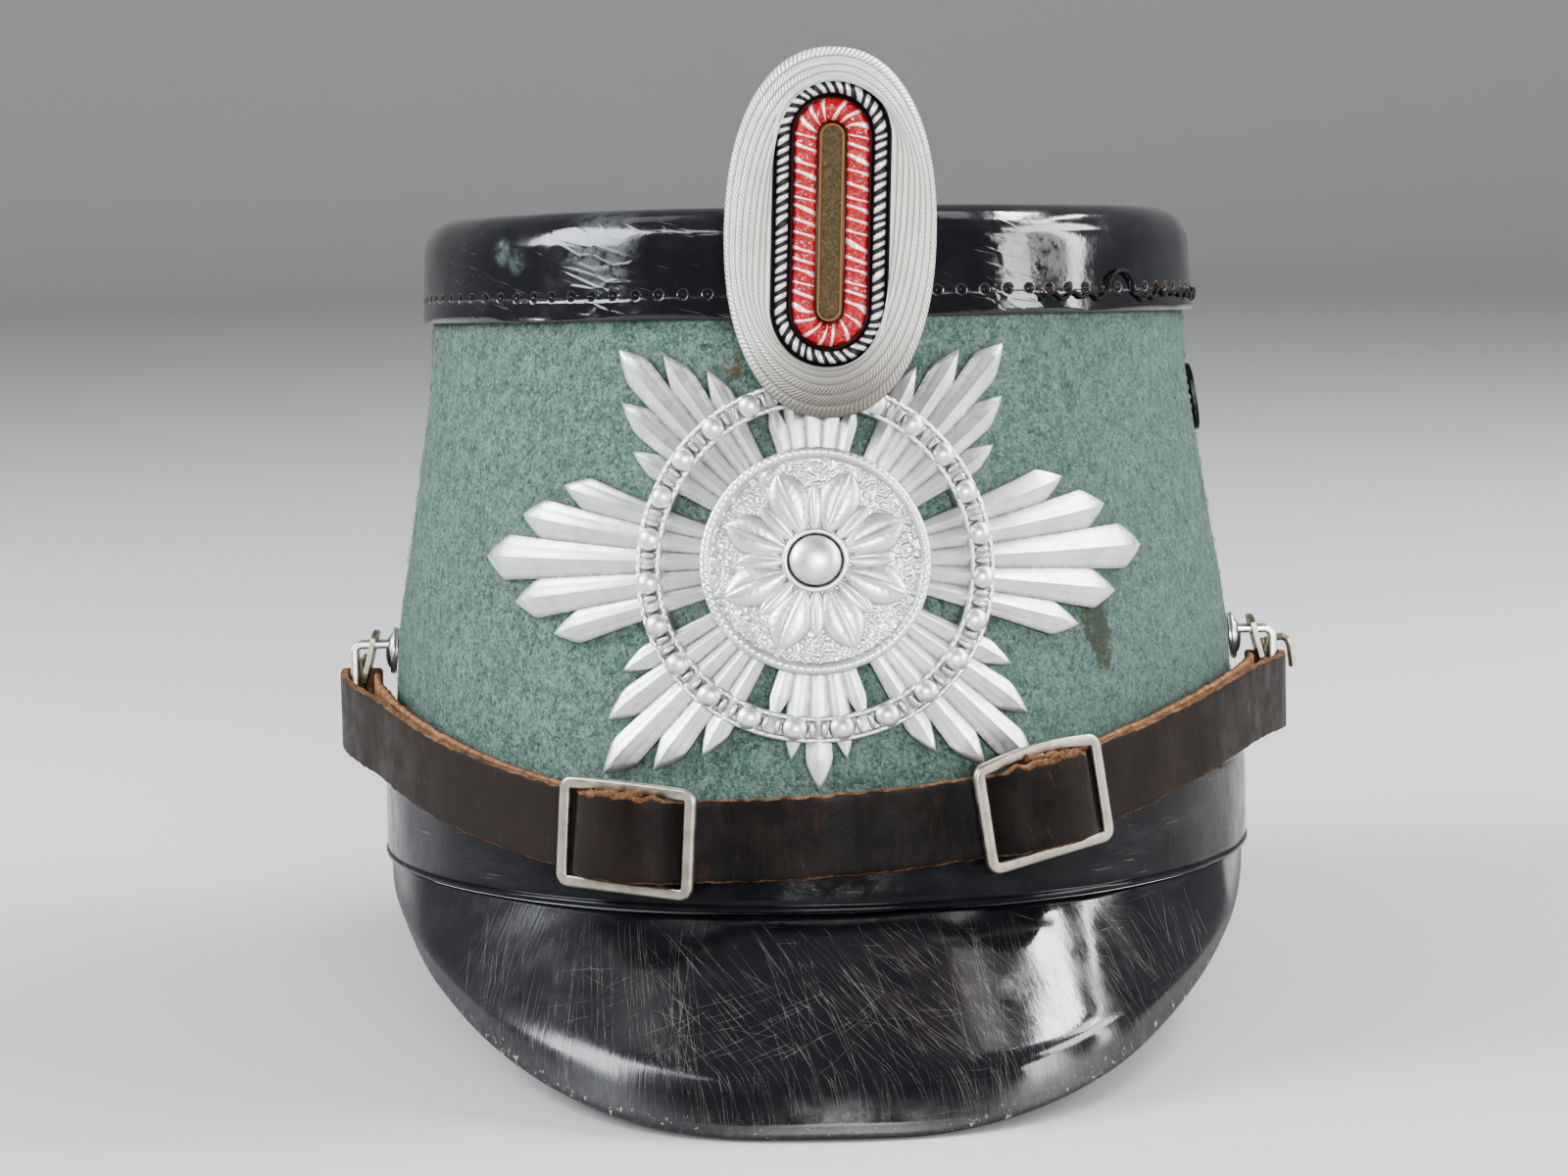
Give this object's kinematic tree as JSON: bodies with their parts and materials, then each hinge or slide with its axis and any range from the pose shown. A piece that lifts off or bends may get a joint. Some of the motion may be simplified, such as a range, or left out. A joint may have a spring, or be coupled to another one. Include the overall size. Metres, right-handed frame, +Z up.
{
  "type": "shako hat",
  "caption": "Felt shako with a lacquered cap, band and peaks, a cast star plate, an oval cockade and a buckled chin strap hooked at the sides.",
  "frame": {"origin": "middle of the base of the bounding box, on the surface that the hat rests on", "axes": "+Z up, the front of the hat faces -Y, +X is to the right when looking at the front"},
  "size_m": [0.2006, 0.2668, 0.1926],
  "materials": {
    "felt": "matt grey-green wool felt",
    "lacquer": "glossy black lacquered leather, worn",
    "peak_lacquer": "glossy black lacquer with fine cracks",
    "strap_leather": "worn dark brown leather with raw edges",
    "buckle_metal": "dull and slightly dirty",
    "hook_metal": "worn satin",
    "clip_metal": "dull olive grey",
    "plate_metal": "satin cast relief with dark crevices",
    "silver_cord": "twisted silver cord",
    "black_cord": "black cord with silver strands",
    "red_cord": "red cord with silver ribs",
    "gold_centre": "dark grainy gilt",
    "vent_metal": "dull black paint"
  },
  "bodies": {
    "root": {"felt_crown": "felt", "top_cap": "lacquer", "base_band": "lacquer", "front_peak": "peak_lacquer", "rear_peak": "peak_lacquer", "chin_strap": "strap_leather", "left_slider": "buckle_metal", "right_slider": "buckle_metal", "left_hook": "hook_metal", "right_hook": "hook_metal", "left_strap_clip": "clip_metal", "right_strap_clip": "clip_metal", "left_vent": "vent_metal", "right_vent": "vent_metal", "front_plate": "plate_metal", "cockade_rim": "silver_cord", "cockade_black_ring": "black_cord", "cockade_red_ring": "red_cord", "cockade_centre": "gold_centre", "cockade_prong": "hook_metal"}
  },
  "joints": []
}
